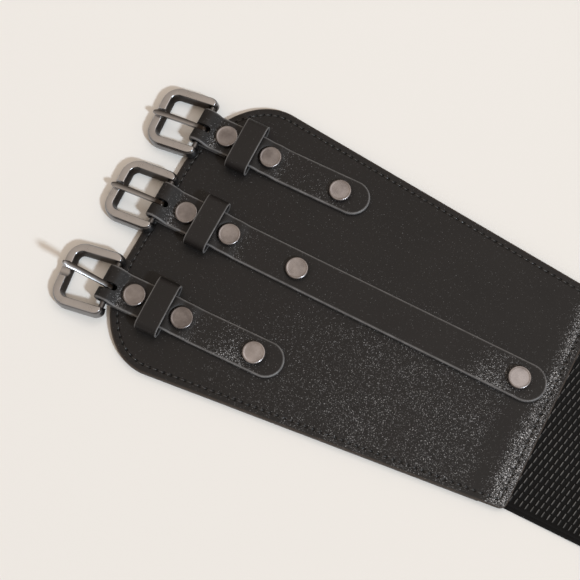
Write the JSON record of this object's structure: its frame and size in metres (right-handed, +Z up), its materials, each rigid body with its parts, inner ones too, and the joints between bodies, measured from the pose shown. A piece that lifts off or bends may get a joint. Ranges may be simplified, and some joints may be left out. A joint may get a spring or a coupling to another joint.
{
  "type": "corset belt with buckle straps, laid out flat",
  "caption": "Wide leather and elastic corset belt, open and flat, with riveted buckle straps on one panel and matching billets on the other.",
  "frame": {"origin": "middle of the belt's footprint, on the surface that it lies on", "axes": "+X along the belt from the buckles to the billet tips, +Y across it, +Z up from the surface to the outer side"},
  "size_m": [0.7038, 0.1348, 0.0215],
  "materials": {
    "leather": "smooth black grain with low sheen",
    "hardware": "satin gunmetal plating",
    "elastic": "woven matt"
  },
  "bodies": {
    "root": {"buckle_panel": "leather", "elastic_band": "elastic", "billet_panel": "leather", "strap_top": "leather", "strap_middle": "leather", "strap_middle_run": "leather", "strap_bottom": "leather", "keeper_top": "leather", "keeper_middle": "leather", "keeper_bottom": "leather", "billet_top": "leather", "billet_middle": "leather", "billet_bottom": "leather", "stud_top_1": "hardware", "stud_top_2": "hardware", "stud_top_3": "hardware", "stud_middle_1": "hardware", "stud_middle_2": "hardware", "stud_middle_3": "hardware", "stud_middle_4": "hardware", "stud_bottom_1": "hardware", "stud_bottom_2": "hardware", "stud_bottom_3": "hardware", "billet_stud_top_1": "hardware", "billet_stud_top_2": "hardware", "billet_stud_middle_1": "hardware", "billet_stud_middle_2": "hardware", "billet_stud_bottom_1": "hardware", "billet_stud_bottom_2": "hardware"},
    "frame_top": {"buckle_frame_top": "hardware"},
    "frame_middle": {"buckle_frame_middle": "hardware"},
    "frame_bottom": {"buckle_frame_bottom": "hardware"},
    "prong_top": {"prong_top": "hardware"},
    "prong_middle": {"prong_middle": "hardware"},
    "prong_bottom": {"prong_bottom": "hardware"}
  },
  "joints": [
    {"name": "frame_swing_top", "type": "hinge", "parent": "root", "child": "frame_top", "pos_m": [-0.32664, 0.04211, 0.00645], "axis": [-0.0628, 0.998, 0], "range_deg": [-10, 35]},
    {"name": "frame_swing_middle", "type": "hinge", "parent": "root", "child": "frame_middle", "pos_m": [-0.32634, 0.00258, 0.00645], "axis": [-0.0349, 0.9994, 0], "range_deg": [-10, 35]},
    {"name": "frame_swing_bottom", "type": "hinge", "parent": "root", "child": "frame_bottom", "pos_m": [-0.32762, -0.04066, 0.00645], "axis": [-0.1201, 0.9928, 0], "range_deg": [-10, 35]},
    {"name": "prong_swing_top", "type": "hinge", "parent": "frame_top", "child": "prong_top", "pos_m": [-0.32664, 0.04211, 0.00645], "axis": [-0.0628, 0.998, 0], "range_deg": [0, 65]},
    {"name": "prong_swing_middle", "type": "hinge", "parent": "frame_middle", "child": "prong_middle", "pos_m": [-0.32634, 0.00258, 0.00645], "axis": [-0.0349, 0.9994, 0], "range_deg": [0, 65]},
    {"name": "prong_swing_bottom", "type": "hinge", "parent": "frame_bottom", "child": "prong_bottom", "pos_m": [-0.32762, -0.04066, 0.00645], "axis": [-0.1201, 0.9928, 0], "range_deg": [-41, 24]}
  ]
}
